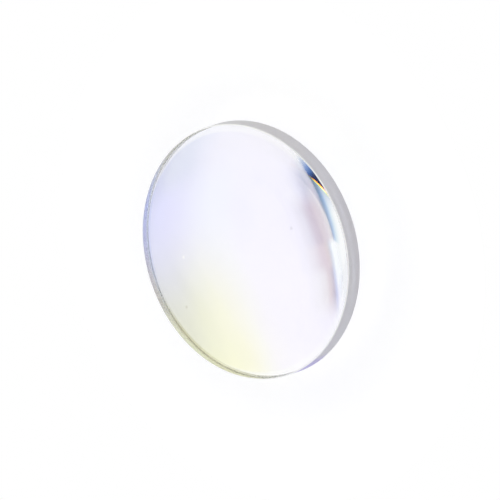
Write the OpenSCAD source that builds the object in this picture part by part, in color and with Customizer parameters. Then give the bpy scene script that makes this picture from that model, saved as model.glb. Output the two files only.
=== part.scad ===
// Plano-convex lens
//
// One round blank of clear glass, with a flat polished face, a spherical
// polished face, a ground cylindrical edge and a small 45 degree chamfer at
// each rim.
//
// The lens lies on its curved face like a shallow dish, with the flat face
// level on top. The origin is the vertex of the curved face, which is the
// point it lies on. +Z runs along the optical axis towards the flat face.
// Lengths are in millimetres.

/* [Blank] */
// Diameter of the ground edge
lens_d = 25.4; // [10:0.1:30]
// Thickness at the rim, measured as if the rim had no chamfers
edge_t = 1.9; // [1.5:0.01:6]

/* [Optics] */
// Focal length in air
focal_length = 70; // [60:0.5:500]
// Refractive index of the glass
glass_index = 1.5168; // [1.45:0.0001:1.6]

/* [Chamfers] */
// Leg of the chamfer at the rim of the flat face
flat_chamfer = 0.1; // [0.05:0.01:0.5]
// Leg of the chamfer at the rim of the curved face, along the edge
curved_chamfer = 0.1; // [0.05:0.01:0.5]

/* [Display] */
// Which node to build

/* [Hidden] */
glass_color = "aliceblue";
// Enough sides that every round face stays round
$fn = 180;

lens_r = lens_d / 2;
// A thin lens with one flat face has f = r / (n - 1)
curve_r = focal_length * (glass_index - 1);
// Depth of the spherical cap at the full diameter
sag = curve_r - sqrt(curve_r * curve_r - lens_r * lens_r);
flat_z = sag + edge_t;
wall_low_z = sag + curved_chamfer;
wall_high_z = flat_z - flat_chamfer;

// The ground blank before its lower face is polished: a cylinder with the
// chamfer of each rim turned on it. The lower one runs on at 45 degrees as
// far as the vertex plane, below where the sphere cuts it off.
module ground_blank() {
    rotate_extrude()
        polygon([
            [0, 0],
            [lens_r - wall_low_z, 0],
            [lens_r, wall_low_z],
            [lens_r, wall_high_z],
            [lens_r - flat_chamfer, flat_z],
            [0, flat_z]
        ]);
}

// The sphere that the curved face is a cap of, touching the origin.
module curved_face() {
    translate([0, 0, curve_r])
        sphere(r = curve_r);
}

module lens() {
    color(glass_color)
        intersection() {
            ground_blank();
            curved_face();
        }
}

lens();
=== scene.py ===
"""Plano-convex lens: a high-key studio picture of the polished glass blank.

The lens lies on its curved face with the flat face up. The camera looks down
on the flat face, and is rolled so that the face is turned to the left.
Lengths are in metres unless a name says otherwise.
"""
import math

import bpy
from mathutils import Matrix, Vector


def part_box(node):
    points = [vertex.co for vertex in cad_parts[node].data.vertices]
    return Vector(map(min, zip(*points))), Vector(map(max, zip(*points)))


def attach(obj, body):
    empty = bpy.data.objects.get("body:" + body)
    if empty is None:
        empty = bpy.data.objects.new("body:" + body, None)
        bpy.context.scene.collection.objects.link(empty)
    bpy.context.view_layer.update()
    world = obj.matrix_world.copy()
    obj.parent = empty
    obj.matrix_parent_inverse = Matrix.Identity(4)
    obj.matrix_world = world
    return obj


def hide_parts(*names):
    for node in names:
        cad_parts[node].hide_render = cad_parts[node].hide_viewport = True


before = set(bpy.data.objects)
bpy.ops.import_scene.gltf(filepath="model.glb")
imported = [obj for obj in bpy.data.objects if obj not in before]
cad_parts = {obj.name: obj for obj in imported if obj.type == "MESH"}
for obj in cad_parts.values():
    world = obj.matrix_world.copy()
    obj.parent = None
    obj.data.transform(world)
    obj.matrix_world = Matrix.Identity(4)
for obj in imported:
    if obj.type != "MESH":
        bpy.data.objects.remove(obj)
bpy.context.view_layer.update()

MM = 0.001
WHITE = (1.0, 1.0, 1.0)

# ---- the lens, from the frame's own box ----
low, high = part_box("lens")
LENS_R = (high.x - low.x) / 2
FLAT_Z = high.z
CURVE_R = 36.176 * MM
CHAMFER = 0.1 * MM
# index of the glass for red light; the colour ramps take green and blue out
# a little earlier, as its dispersion does
GLASS_IOR = 1.5143

# ---- its mesh ----
SEGMENTS = 256
CURVE_RINGS = 72
FACE_RINGS = 12
THIN_RING = 0.02 * MM
SHARP_ANGLE = math.radians(15)
# steps of the search for the lower chamfer's foot
HALVINGS = 60
# place of each band's material in the list of materials
FLAT, CURVED, WALL, CURVED_CHAMFER, FLAT_CHAMFER = range(5)

# ---- the picture's view of it ----
FRAME_PX = 500
RIM_AT_PX = (245.51, 251.79)
RIM_R_PX = 130.6
FACE_TILT = math.radians(40.26)
ROLL = math.radians(18.69)
LENS_MM = 1500
SENSOR_MM = 36
CLIP = (0.01, 10)

# Ranges below are in radii of the lens, down or right in the picture, unless
# they say otherwise: from where a thing is absent to where it is full.

# ---- polished faces ----
# what the coating leaves of their own reflection
COATING = (0.35, 0.35, 0.50)
# painted reflection and painted shade of the flat face, by distance to the left in radii: middle, lower
# part and top; they darken towards the left rim
COOL = [(0.0, (0.90, 0.88, 1.0)), (0.15, (0.89, 0.90, 1.0)),
        (0.30, (0.89, 0.91, 1.0)), (0.45, (0.86, 0.87, 1.0)),
        (0.60, (0.79, 0.79, 1.0)), (0.75, (0.70, 0.70, 0.99)),
        (0.87, (0.62, 0.63, 0.95)), (0.95, (0.54, 0.56, 0.86))]
WARM = [(0.0, (0.93, 0.90, 1.0)), (0.15, (0.94, 0.93, 0.91)),
        (0.30, (0.94, 0.92, 0.81)), (0.45, (0.94, 0.93, 0.70)),
        (0.60, (0.83, 0.84, 0.58)), (0.75, (0.66, 0.67, 0.48)),
        (0.95, (0.56, 0.57, 0.41))]
TEAL = [(0.0, (0.90, 0.88, 0.98)), (0.34, (0.885, 0.87, 0.97)),
        (0.49, (0.80, 0.81, 0.945)), (0.64, (0.67, 0.71, 0.86)),
        (0.79, (0.60, 0.64, 0.79)), (0.94, (0.44, 0.47, 0.72))]
# where the lower part's tints and the top's take over
WARM_DOWN = (-0.5, 0.5)
TEAL_DOWN = (-0.5, -0.78)
# more yellow painted reflection in the lowest part, towards the left
YELLOW = (1.0, 1.0, 0.82)
YELLOW_DOWN = (0.45, 0.85)
YELLOW_LEFT = (0.05, 0.4)
# painted pale blue reflection in the last part at the right
PALE_BLUE = (0.94, 0.99, 1.0)
PALE_RIGHT = (0.74, 0.82)
# how much further left the top counts as, times its distance up squared
TOP_BEND = 0.6
# uneven drift of the tints
DRIFT = 0.16
DRIFT_SCALE = 260
DRIFT_STRETCH = 5
# how much of the tint is gone near the rim, and where, by the radius squared
RIM_THINNING = 0.6
RIM_FROM = (0.87, 0.91)
# marks on the flat face: place (down, right) and size in radii, and colour
SPECKS = [((-0.058, 0.518), 0.018, (0.74, 0.72, 0.80)),
          ((0.257, -0.734), 0.018, (0.59, 0.58, 0.44)),
          ((-0.113, -0.601), 0.016, (1.0, 1.0, 0.95))]
# a mark is full inside this share of its size
SPECK_CORE = 0.4

# ---- colour of light that leaves the curved face, by how steeply it does ----
# the ramps go by four times the facing value, so that they have room
FACING_SPAN = 4.0
# at the right: painted shadow of the lens on the floor and painted reflection of dark surroundings, as seen
# through the glass; from the picture's top to its bottom
SHADE_FRINGE_HIGH = [(0.60, WHITE), (0.68, (0.98, 0.98, 0.98)),
               (0.76, (0.94, 0.95, 0.94)), (0.82, (0.78, 0.80, 0.87)),
               (0.87, (0.48, 0.49, 0.60)), (0.92, (0.40, 0.37, 0.49)),
               (0.975, (0.95, 0.75, 0.86))]
SHADE_FRINGE_MID = [(0.52, WHITE), (0.60, (0.98, 0.98, 1.0)),
              (0.68, (0.90, 0.90, 0.93)), (0.76, (0.69, 0.68, 0.72)),
              (0.82, (0.47, 0.39, 0.44)), (0.86, (0.40, 0.30, 0.35)),
              (0.90, (0.47, 0.33, 0.38)), (0.955, (0.46, 0.34, 0.39)),
              (0.985, (0.30, 0.24, 0.29))]
SHADE_FRINGE_LOW = [(0.60, WHITE), (0.68, (0.90, 0.91, 0.92)),
              (0.76, (0.75, 0.71, 0.71)), (0.82, (0.59, 0.48, 0.49)),
              (0.86, (0.54, 0.41, 0.42)), (0.89, (0.52, 0.38, 0.37)),
              (0.915, (0.42, 0.38, 0.44)), (0.93, (0.50, 0.56, 0.70)),
              (0.948, (0.97, 1.0, 1.0))]
SHADE_FRINGE_END = [(0.64, WHITE), (0.76, (0.87, 0.88, 0.84)),
              (0.82, (0.75, 0.72, 0.67)), (0.86, (0.56, 0.45, 0.43)),
              (0.90, (0.30, 0.26, 0.33)), (0.922, (0.37, 0.44, 0.72)),
              (0.945, (0.97, 1.0, 1.0))]
# where each ramp takes over from the one above it, in radii down
SHADE_FRINGE_STEPS = [((-0.32, -0.14), SHADE_FRINGE_MID), ((0.09, 0.17), SHADE_FRINGE_LOW),
                ((0.26, 0.38), SHADE_FRINGE_END)]
SHADE_FRINGE_DOWN = (-0.60, -0.30, 0.50, 0.75)
SHADE_FRINGE_RIGHT = (0.1, 0.3)
# at the left, just short of total reflection
RAINBOW = [(0.962, WHITE), (0.970, (0.35, 0.85, 0.90)),
           (0.975, (0.45, 1.0, 0.20)), (0.980, (1.0, 0.72, 0.0)),
           (0.985, (1.0, 0.28, 0.0)), (0.990, (1.0, 0.07, 0.0)),
           (0.996, (0.6, 0.0, 0.0))]
RAINBOW_DOWN = (0.03, 0.06)
RAINBOW_RIGHT = (-0.6, -0.75)

# ---- ground edge and chamfers ----
EDGE = (0.81, 0.79, 0.86)
VIOLET = (0.53, 0.45, 1.0)
VIOLET_DOWN = (0.925, 0.98)
VIOLET_RIGHT = (-0.45, 0.08)
EDGE_ROUGH = 0.4
EDGE_CLEAR = 0.55
MIRROR_ROUGH = 0.25
# painted reflection in the edge's mirror from inside, blue at the left and olive below, from the picture's
# top to its bottom: upper and lowest part
EDGE_PAINTED_REFLECTION = [(0.02, WHITE), (0.05, (0.77, 0.77, 0.75)),
               (0.12, (0.67, 0.72, 0.86)), (0.21, (0.58, 0.64, 0.93)),
               (0.33, (0.64, 0.67, 0.92)), (0.42, (0.71, 0.70, 0.80)),
               (0.58, (0.89, 0.86, 0.76)), (0.80, (0.93, 0.97, 0.74)),
               (0.91, (0.86, 0.85, 0.60)), (0.97, (0.93, 0.93, 0.70))]
LOW_PAINTED_REFLECTION = [(0.10, WHITE), (0.20, (0.84, 0.90, 1.0)),
              (0.45, (0.86, 0.90, 1.0)), (0.55, WHITE),
              (0.70, (0.78, 0.75, 0.54)), (0.86, (0.76, 0.74, 0.48)),
              (0.93, (0.84, 0.82, 0.58)), (0.98, (0.95, 0.95, 0.80))]
# the depth under the flat face at which the lowest part starts
LOW_DEPTH = (1.15 * MM, 1.35 * MM)
# the painted reflection is white towards the right, and so is the chamfer's tint
WHITE_RIGHT = (-0.1, 0.1)
EDGE_GRAIN = 9000
CHAMFER_GRAIN = 6000
# darkest tone of the grain, on the edge and on the chamfers
EDGE_DARK = 0.93
CHAMFER_DARK = 0.97
EDGE_BUMP = 0.1
BUMP_DEPTH = 0.01 * MM
FLAT_CHAMFER_ROUGH = 0.4
FLAT_CHAMFER_CLEAR = 0.25
# the curved face's chamfer is smoother at the left, where the picture shows a bright line
FROST_ROUGH = 0.5
SMOOTH_ROUGH = 0.04
FROST_ENDS = (0.70, 0.88)
FROST_RIGHT = (-0.3, 0.0)

# ---- studio ----
FLOOR_R = 26 * MM
FLOOR_SIDES = 96
FLOOR_COLOUR = 0.8
# light of its own, which brings the floor to white where it is looked at
FLOOR_LIFT = 0.24
DEGREES = 180 / math.pi
# low card: its top edge in degrees, rising with the azimuth and its square
CARD_TOP = -2.6
CARD_SLOPE = 0.14
CARD_RISE = 0.0235
# how many degrees before azimuth 0 it starts, and how far that leans with height
CARD_START = 9.3
CARD_LEAN = 0.35
CARD_SOFT = (-0.3, 0.3)
# its right end and its foot, in degrees of azimuth and elevation
CARD_END_AZ = (34, 26)
CARD_FOOT_EL = (-9, -7)
# its colours go by degrees above its top edge, over this span
CARD_SPAN = 16
CARD = [(0.25, (0.29, 0.39, 0.52)), (0.375, (0.31, 0.42, 0.60)),
        (0.5, (0.45, 0.58, 0.80)), (0.625, (0.70, 0.81, 0.91)),
        (0.78, (0.86, 0.92, 0.95)), (1.0, WHITE)]
# lamp: azimuth and elevation in degrees, as dark, full, full, dark
LAMP_AZ = (9.5, 15.5, 19.5, 23)
LAMP_EL = (8.5, 12, 17.5, 19)
LAMP = (3.8, 3.6, 3.4)
LAMP_END = (3.0, 2.9, 0.1)
LAMP_TURN = (11.5, 15)
# the lamp is there only for light with this many bounces behind it, so that
# it shows in the line of spectrum colours and nowhere else
LAMP_DEPTH = 7
# opening: azimuth and elevation, and colours by degrees from its middle over this span
GAP_AT = (27, 51)
GAP_SPAN = 20
GAP = [(0.13, (0.006, 0.018, 0.09)), (0.24, (0.06, 0.15, 0.42)),
       (0.36, (0.24, 0.36, 0.68)), (0.545, (0.67, 0.74, 0.90)),
       (0.70, WHITE)]
BOUNCES = 24


def sag(r):
    """Height of the curved face above its vertex, at radius r."""
    return CURVE_R - math.sqrt(CURVE_R * CURVE_R - r * r)


def chamfer_foot():
    """Radius at which the lower 45 degree chamfer meets the curved face."""
    wall_low = sag(LENS_R) + CHAMFER
    near, far = 0.0, 10 * CHAMFER
    for _ in range(HALVINGS):
        leg = (near + far) / 2
        if wall_low - leg > sag(LENS_R - leg):
            near = leg
        else:
            far = leg
    return LENS_R - near


def profile():
    """Half section from the vertex round to the centre of the flat face, as
    (radius, height, material of the band that ends there)."""
    foot = chamfer_foot()
    pts = [(0.0, 0.0, CURVED)]
    for i in range(1, CURVE_RINGS):
        r = foot * i / CURVE_RINGS
        pts.append((r, sag(r), CURVED))
    # a thin last ring keeps the shading true right up to the rim
    pts.append((foot - THIN_RING, sag(foot - THIN_RING), CURVED))
    pts.append((foot, sag(foot), CURVED))
    pts.append((LENS_R, sag(LENS_R) + CHAMFER, CURVED_CHAMFER))
    pts.append((LENS_R, FLAT_Z - CHAMFER, WALL))
    pts.append((LENS_R - CHAMFER, FLAT_Z, FLAT_CHAMFER))
    for i in range(FACE_RINGS - 1, -1, -1):
        pts.append(((LENS_R - CHAMFER) * i / FACE_RINGS, FLAT_Z, FLAT))
    return pts


def new_object(name, mesh):
    obj = bpy.data.objects.new(name, mesh)
    bpy.context.scene.collection.objects.link(obj)
    return obj


def lathe(name, pts, materials):
    """Closed revolve of a half section whose two ends are on the axis."""
    verts = [(0.0, 0.0, pts[0][1])]
    for r, z, _ in pts[1:-1]:
        for k in range(SEGMENTS):
            t = 2 * math.pi * k / SEGMENTS
            verts.append((r * math.cos(t), r * math.sin(t), z))
    verts.append((0.0, 0.0, pts[-1][1]))
    rings = len(pts) - 2
    faces, slots = [], []
    for k in range(SEGMENTS):
        n = (k + 1) % SEGMENTS
        faces.append((0, 1 + n, 1 + k))
        slots.append(pts[1][2])
        for j in range(rings - 1):
            a, b = 1 + j * SEGMENTS, 1 + (j + 1) * SEGMENTS
            faces.append((a + k, a + n, b + n, b + k))
            slots.append(pts[j + 2][2])
        a = 1 + (rings - 1) * SEGMENTS
        faces.append((a + k, a + n, len(verts) - 1))
        slots.append(pts[-1][2])
    mesh = bpy.data.meshes.new(name)
    mesh.from_pydata(verts, [], faces)
    for m in materials:
        mesh.materials.append(m)
    mesh.polygons.foreach_set("material_index", slots)
    mesh.shade_smooth()
    mesh.set_sharp_from_angle(angle=SHARP_ANGLE)
    mesh.validate()
    return new_object(name, mesh)


def ramp(nt, source, stops):
    """Colour along a value, from (position, colour) stops."""
    node = nt.nodes.new("ShaderNodeValToRGB")
    els = node.color_ramp.elements
    els[0].position, els[0].color = stops[0][0], (*stops[0][1], 1)
    els[1].position, els[1].color = stops[-1][0], (*stops[-1][1], 1)
    for at, colour in stops[1:-1]:
        els.new(at).color = (*colour, 1)
    nt.links.new(source, node.inputs["Fac"])
    return node.outputs["Color"]


def calc(nt, op, *values):
    """One Math node; each value is a number or a socket."""
    node = nt.nodes.new("ShaderNodeMath")
    node.operation = op
    for i, x in enumerate(values):
        if isinstance(x, (int, float)):
            node.inputs[i].default_value = x
        else:
            nt.links.new(x, node.inputs[i])
    return node.outputs[0]


def product(nt, first, *others):
    """All the values multiplied together."""
    for x in others:
        first = calc(nt, "MULTIPLY", first, x)
    return first


def between(nt, factor, a, b):
    """The number a where factor is 0, b where it is 1."""
    return calc(nt, "MULTIPLY_ADD", factor, b - a, a)


def fade(nt, value, lo, hi):
    """0 at lo and 1 at hi, smooth between them and held outside."""
    node = nt.nodes.new("ShaderNodeMapRange")
    node.interpolation_type = "SMOOTHSTEP"
    node.inputs["From Min"].default_value = lo
    node.inputs["From Max"].default_value = hi
    nt.links.new(value, node.inputs["Value"])
    return node.outputs["Result"]


def window(nt, value, dark, full, full_end, dark_end):
    """1 from full to full_end, fading to 0 at dark and at dark_end."""
    return product(nt, fade(nt, value, dark, full), fade(nt, value, dark_end, full_end))


def blend(nt, factor, a, b, how="MIX"):
    """Colour mix; a and b are colours or sockets, factor a number or a socket."""
    node = nt.nodes.new("ShaderNodeMix")
    node.data_type = "RGBA"
    node.blend_type = how
    for key, x in (("Factor", factor), ("A", a), ("B", b)):
        if isinstance(x, (int, float)):
            node.inputs[key].default_value = x
        elif isinstance(x, tuple):
            node.inputs[key].default_value = (*x, 1)
        else:
            nt.links.new(x, node.inputs[key])
    return node.outputs["Result"]


def object_place(nt):
    """Place on the lens in metres, whole and as x, y and z."""
    coord = nt.nodes.new("ShaderNodeTexCoord")
    sep = nt.nodes.new("ShaderNodeSeparateXYZ")
    nt.links.new(coord.outputs["Object"], sep.inputs[0])
    return coord.outputs["Object"], sep.outputs["X"], sep.outputs["Y"], sep.outputs["Z"]


def face_axes(nt):
    """Place on the lens in radii: down and right as the picture shows the face."""
    coord, x, y, z = object_place(nt)
    return coord, product(nt, x, -1 / LENS_R), product(nt, y, -1 / LENS_R), z


def from_inside(nt):
    """1 where light meets the surface from inside the glass."""
    return nt.nodes.new("ShaderNodeNewGeometry").outputs["Backfacing"]


def noise(nt, coord, scale, detail, stretch=1, turn=0):
    """Noise, drawn out along the face's down direction turned by an angle."""
    mapping = nt.nodes.new("ShaderNodeMapping")
    mapping.vector_type = "TEXTURE"
    mapping.inputs["Rotation"].default_value = (0, 0, turn)
    mapping.inputs["Scale"].default_value = (stretch, 1, 1)
    nt.links.new(coord, mapping.inputs["Vector"])
    node = nt.nodes.new("ShaderNodeTexNoise")
    node.inputs["Scale"].default_value = scale
    node.inputs["Detail"].default_value = detail
    nt.links.new(mapping.outputs[0], node.inputs["Vector"])
    return node.outputs["Fac"]


def shade(nt, grain, darkest):
    """Grey to white tone of a ground surface's grain."""
    return ramp(nt, grain, [(0.3, (darkest, darkest, darkest)), (0.7, WHITE)])


def glass(name, roughness, transmission):
    mat = bpy.data.materials.new(name)
    mat.use_nodes = True
    nt = mat.node_tree
    bsdf = nt.nodes["Principled BSDF"]
    bsdf.inputs["Roughness"].default_value = roughness
    bsdf.inputs["IOR"].default_value = GLASS_IOR
    bsdf.inputs["Transmission Weight"].default_value = transmission
    return mat, nt, bsdf


def polished(name):
    mat, nt, bsdf = glass(name, 0.0, 1.0)
    bsdf.inputs["Specular Tint"].default_value = (*COATING, 1)
    return mat, nt, bsdf


def speck(nt, down, right, at, size):
    """1 on one small round mark of the face, 0 off it."""
    dx = calc(nt, "SUBTRACT", down, at[0])
    dy = calc(nt, "SUBTRACT", right, at[1])
    off = calc(nt, "SQRT", calc(nt, "ADD", product(nt, dx, dx), product(nt, dy, dy)))
    return fade(nt, off, size, SPECK_CORE * size)


def flat_face_material():
    """Polished flat face: painted reflection and painted shade in its colour, cool at the upper left, warm
    at the lower left, darker towards the left rim.
    """
    mat, nt, bsdf = polished("flat_face")
    coord, down, right, _ = face_axes(nt)
    streaks = noise(nt, coord, DRIFT_SCALE, detail=2, stretch=DRIFT_STRETCH, turn=ROLL)
    drift = product(nt, calc(nt, "SUBTRACT", streaks, 0.5), DRIFT)
    up = calc(nt, "MAXIMUM", product(nt, down, -1.0), 0.0)
    left = calc(nt, "MULTIPLY_ADD", product(nt, up, up), TOP_BEND, product(nt, right, -1.0))
    left = calc(nt, "ADD", left, drift)
    lower = fade(nt, calc(nt, "ADD", down, drift), *WARM_DOWN)
    tint = blend(nt, lower, ramp(nt, left, COOL), ramp(nt, left, WARM))
    tint = blend(nt, fade(nt, down, *TEAL_DOWN), tint, ramp(nt, left, TEAL))
    lowest = product(nt, fade(nt, down, *YELLOW_DOWN), fade(nt, left, *YELLOW_LEFT))
    tint = blend(nt, lowest, tint, YELLOW, "MULTIPLY")
    tint = blend(nt, fade(nt, right, *PALE_RIGHT), tint, PALE_BLUE)
    # the tints are thinner near the rim
    far = calc(nt, "MULTIPLY_ADD", down, down, product(nt, right, right))
    tint = blend(nt, product(nt, fade(nt, far, *RIM_FROM), RIM_THINNING), tint, WHITE)
    for at, size, colour in SPECKS:
        tint = blend(nt, speck(nt, down, right, at, size), tint, colour)
    nt.links.new(tint, bsdf.inputs["Base Color"])
    return mat


def curved_face_material():
    """Polished curved face: light that leaves it at a grazing angle takes painted colour: painted shadow
    and painted reflection at the right, painted spectrum colours at the left.
    """
    mat, nt, bsdf = polished("curved_face")
    _, down, right, _ = face_axes(nt)
    layer = nt.nodes.new("ShaderNodeLayerWeight")
    layer.inputs["Blend"].default_value = 0.5
    facing = product(nt, layer.outputs["Facing"], FACING_SPAN)
    inside = from_inside(nt)
    shade_fringe = ramp(nt, facing, SHADE_FRINGE_HIGH)
    for (start, end), stops in SHADE_FRINGE_STEPS:
        shade_fringe = blend(nt, fade(nt, down, start, end), shade_fringe, ramp(nt, facing, stops))
    reach = product(nt, window(nt, down, *SHADE_FRINGE_DOWN), fade(nt, right, *SHADE_FRINGE_RIGHT))
    colour = blend(nt, product(nt, reach, inside), WHITE, shade_fringe)
    far = product(nt, fade(nt, right, *RAINBOW_RIGHT), fade(nt, down, *RAINBOW_DOWN))
    colour = blend(nt, product(nt, far, inside), colour, ramp(nt, facing, RAINBOW))
    nt.links.new(colour, bsdf.inputs["Base Color"])
    return mat


def edge_material():
    """Ground edge: even grey frost outside.

    From inside the glass it mirrors, with painted reflection in its colour: blue at the left and olive
    below.
    """
    mat, nt, bsdf = glass("ground_edge", EDGE_ROUGH, EDGE_CLEAR)
    coord, down, right, height = face_axes(nt)
    inside = from_inside(nt)
    grain = noise(nt, coord, EDGE_GRAIN, detail=3)
    violet = product(nt, fade(nt, down, *VIOLET_DOWN), fade(nt, right, *VIOLET_RIGHT))
    tone = blend(nt, violet, EDGE, VIOLET)
    tone = blend(nt, 1.0, tone, shade(nt, grain, EDGE_DARK), "MULTIPLY")
    half = between(nt, down, 0.5, 1.0)
    depth = calc(nt, "SUBTRACT", FLAT_Z, height)
    within = blend(nt, fade(nt, depth, *LOW_DEPTH), ramp(nt, half, EDGE_PAINTED_REFLECTION), ramp(nt, half, LOW_PAINTED_REFLECTION))
    within = blend(nt, fade(nt, right, *WHITE_RIGHT), within, WHITE)
    nt.links.new(blend(nt, inside, tone, within), bsdf.inputs["Base Color"])
    nt.links.new(inside, bsdf.inputs["Metallic"])
    nt.links.new(between(nt, inside, EDGE_CLEAR, 1.0), bsdf.inputs["Transmission Weight"])
    nt.links.new(between(nt, inside, EDGE_ROUGH, MIRROR_ROUGH), bsdf.inputs["Roughness"])
    bump = nt.nodes.new("ShaderNodeBump")
    bump.inputs["Strength"].default_value = EDGE_BUMP
    bump.inputs["Distance"].default_value = BUMP_DEPTH
    nt.links.new(grain, bump.inputs["Height"])
    nt.links.new(bump.outputs[0], bsdf.inputs["Normal"])
    return mat


def curved_chamfer_material():
    """Chamfer of the curved face: light frost, nearly clear."""
    mat, nt, bsdf = glass("curved_chamfer", FROST_ROUGH, 1.0)
    coord, down, right, _ = face_axes(nt)
    half = between(nt, down, 0.5, 1.0)
    # from inside, at the left, the chamfer takes the painted reflection of the edge's lowest part
    within = product(nt, from_inside(nt), fade(nt, right, *reversed(WHITE_RIGHT)))
    tone = blend(nt, within, WHITE, ramp(nt, half, LOW_PAINTED_REFLECTION))
    grain = noise(nt, coord, CHAMFER_GRAIN, detail=2)
    tone = blend(nt, 1.0, tone, shade(nt, grain, CHAMFER_DARK), "MULTIPLY")
    nt.links.new(tone, bsdf.inputs["Base Color"])
    ends = fade(nt, calc(nt, "ABSOLUTE", down), *FROST_ENDS)
    frosted = calc(nt, "MAXIMUM", ends, fade(nt, right, *FROST_RIGHT))
    nt.links.new(between(nt, frosted, SMOOTH_ROUGH, FROST_ROUGH), bsdf.inputs["Roughness"])
    return mat


def flat_chamfer_material():
    """Chamfer of the flat face: white frost, which draws a bright line round the rim."""
    mat, nt, bsdf = glass("flat_chamfer", FLAT_CHAMFER_ROUGH, FLAT_CHAMFER_CLEAR)
    coord, *_ = object_place(nt)
    grain = noise(nt, coord, CHAMFER_GRAIN, detail=2)
    nt.links.new(shade(nt, grain, CHAMFER_DARK), bsdf.inputs["Base Color"])
    return mat


def floor_lift(nt):
    """Lifts the floor to white where it is looked at, without lighting the object more."""
    path = nt.nodes.new("ShaderNodeLightPath")
    seen = calc(nt, "MAXIMUM", path.outputs["Is Camera Ray"], path.outputs["Is Glossy Ray"])
    seen = calc(nt, "MAXIMUM", seen, path.outputs["Is Transmission Ray"])
    return product(nt, seen, FLOOR_LIFT)


def floor_material():
    mat = bpy.data.materials.new("floor")
    mat.use_nodes = True
    nt = mat.node_tree
    nt.nodes.clear()
    out = nt.nodes.new("ShaderNodeOutputMaterial")
    add = nt.nodes.new("ShaderNodeAddShader")
    matt = nt.nodes.new("ShaderNodeBsdfDiffuse")
    lift = nt.nodes.new("ShaderNodeEmission")
    matt.inputs["Color"].default_value = (FLOOR_COLOUR, FLOOR_COLOUR, FLOOR_COLOUR, 1)
    nt.links.new(floor_lift(nt), lift.inputs["Strength"])
    nt.links.new(matt.outputs[0], add.inputs[0])
    nt.links.new(lift.outputs[0], add.inputs[1])
    nt.links.new(add.outputs[0], out.inputs[0])
    return mat


def make_floor():
    """White round table top."""
    verts = []
    for k in range(FLOOR_SIDES):
        t = 2 * math.pi * k / FLOOR_SIDES
        verts.append((FLOOR_R * math.cos(t), FLOOR_R * math.sin(t), 0))
    mesh = bpy.data.meshes.new("floor")
    mesh.from_pydata(verts, [], [tuple(range(FLOOR_SIDES))])
    mesh.materials.append(floor_material())
    new_object("floor", mesh)


def direction(az, el):
    """Unit vector; az 0 is level to the picture's left, 90 to the picture's bottom."""
    az, el = math.radians(az), math.radians(el)
    return Vector((-math.sin(az) * math.cos(el), math.cos(az) * math.cos(el), math.sin(el)))


def add_card(nt, az, el, colour):
    """A blue-grey card that stands low at the left; its top rises towards the picture's bottom."""
    ahead = calc(nt, "MAXIMUM", az, 0.0)
    top = calc(nt, "MULTIPLY_ADD", product(nt, ahead, ahead), CARD_RISE, CARD_TOP)
    top = calc(nt, "MULTIPLY_ADD", az, CARD_SLOPE, top)
    above = calc(nt, "MULTIPLY_ADD", calc(nt, "SUBTRACT", el, top), 1 / CARD_SPAN, 0.5)
    start = calc(nt, "MULTIPLY_ADD", el, CARD_LEAN, calc(nt, "ADD", az, CARD_START))
    ends = product(nt, fade(nt, start, *CARD_SOFT), fade(nt, az, *CARD_END_AZ))
    across = product(nt, ends, fade(nt, el, *CARD_FOOT_EL))
    return blend(nt, across, colour, ramp(nt, above, CARD))


def add_lamp(nt, az, el, depth, colour):
    """A small warm lamp just over the card's right end, yellow at its left, for deep light alone."""
    at_depth = calc(nt, "COMPARE", depth, LAMP_DEPTH, 0.5)
    lit = product(nt, window(nt, az, *LAMP_AZ), window(nt, el, *LAMP_EL), at_depth)
    glow = blend(nt, fade(nt, az, *LAMP_TURN), LAMP_END, LAMP)
    return blend(nt, lit, colour, glow)


def add_opening(nt, look, colour):
    """A dark opening higher up."""
    dot = nt.nodes.new("ShaderNodeVectorMath")
    dot.operation = "DOT_PRODUCT"
    nt.links.new(look, dot.inputs[0])
    dot.inputs[1].default_value = direction(*GAP_AT)
    off = product(nt, calc(nt, "ARCCOSINE", dot.outputs["Value"]), DEGREES / GAP_SPAN)
    return blend(nt, 1.0, colour, ramp(nt, off, GAP), "MULTIPLY")


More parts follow.
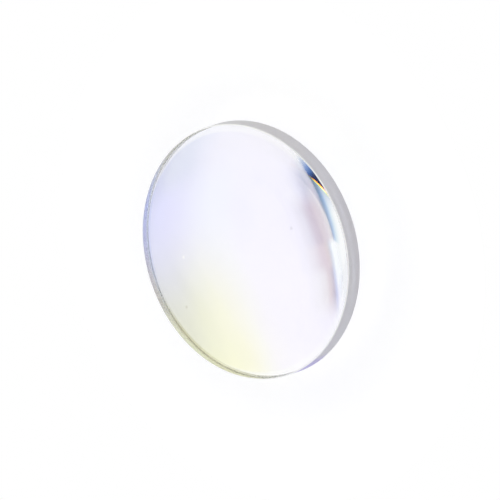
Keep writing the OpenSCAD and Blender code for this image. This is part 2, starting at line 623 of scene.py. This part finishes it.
def make_world():
    """White studio with what the glass shows of it; plain white to the camera."""
    world = bpy.data.worlds.new("studio")
    world.use_nodes = True
    nt = world.node_tree
    coord = nt.nodes.new("ShaderNodeTexCoord")
    look = coord.outputs["Generated"]
    sep = nt.nodes.new("ShaderNodeSeparateXYZ")
    nt.links.new(look, sep.inputs[0])
    el = product(nt, calc(nt, "ARCSINE", sep.outputs["Z"]), DEGREES)
    az = calc(nt, "ARCTAN2", product(nt, sep.outputs["X"], -1.0), sep.outputs["Y"])
    az = product(nt, az, DEGREES)
    path = nt.nodes.new("ShaderNodeLightPath")
    colour = add_card(nt, az, el, WHITE)
    colour = add_lamp(nt, az, el, path.outputs["Ray Depth"], colour)
    colour = add_opening(nt, look, colour)
    colour = blend(nt, path.outputs["Is Camera Ray"], colour, WHITE)
    nt.links.new(colour, nt.nodes["Background"].inputs["Color"])
    bpy.context.scene.world = world


def make_camera():
    """Level with the picture: the rim's near circle keeps its place and size."""
    px = LENS_R / RIM_R_PX
    ca, sa = math.cos(FACE_TILT), math.sin(FACE_TILT)
    along = Vector((-1, 0, 0))
    across = Vector((0, -ca, -sa))
    right = math.sin(ROLL) * along + math.cos(ROLL) * across
    up = -math.cos(ROLL) * along + math.sin(ROLL) * across
    back = right.cross(up)
    distance = FRAME_PX * px * LENS_MM / SENSOR_MM
    rim = Vector((0, 0, FLAT_Z - CHAMFER))
    centre = FRAME_PX / 2
    aim = rim + right * (centre - RIM_AT_PX[0]) * px + up * (RIM_AT_PX[1] - centre) * px
    data = bpy.data.cameras.new("camera")
    data.lens = LENS_MM
    data.sensor_width = SENSOR_MM
    data.clip_start, data.clip_end = CLIP
    place = Matrix((right, up, back)).transposed().to_4x4()
    place.translation = aim + back * distance
    cam = new_object("camera", data)
    cam.matrix_world = place
    bpy.context.scene.camera = cam


make_camera()
make_world()
make_floor()

lens = lathe("lens_glass", profile(), [
    flat_face_material(),
    curved_face_material(),
    edge_material(),
    curved_chamfer_material(),
    flat_chamfer_material(),
])
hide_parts("lens")
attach(lens, "root")

scene = bpy.context.scene
scene.view_settings.view_transform = "Standard"
scene.cycles.blur_glossy = 0
scene.cycles.max_bounces = BOUNCES
scene.cycles.glossy_bounces = BOUNCES
scene.cycles.transmission_bounces = BOUNCES
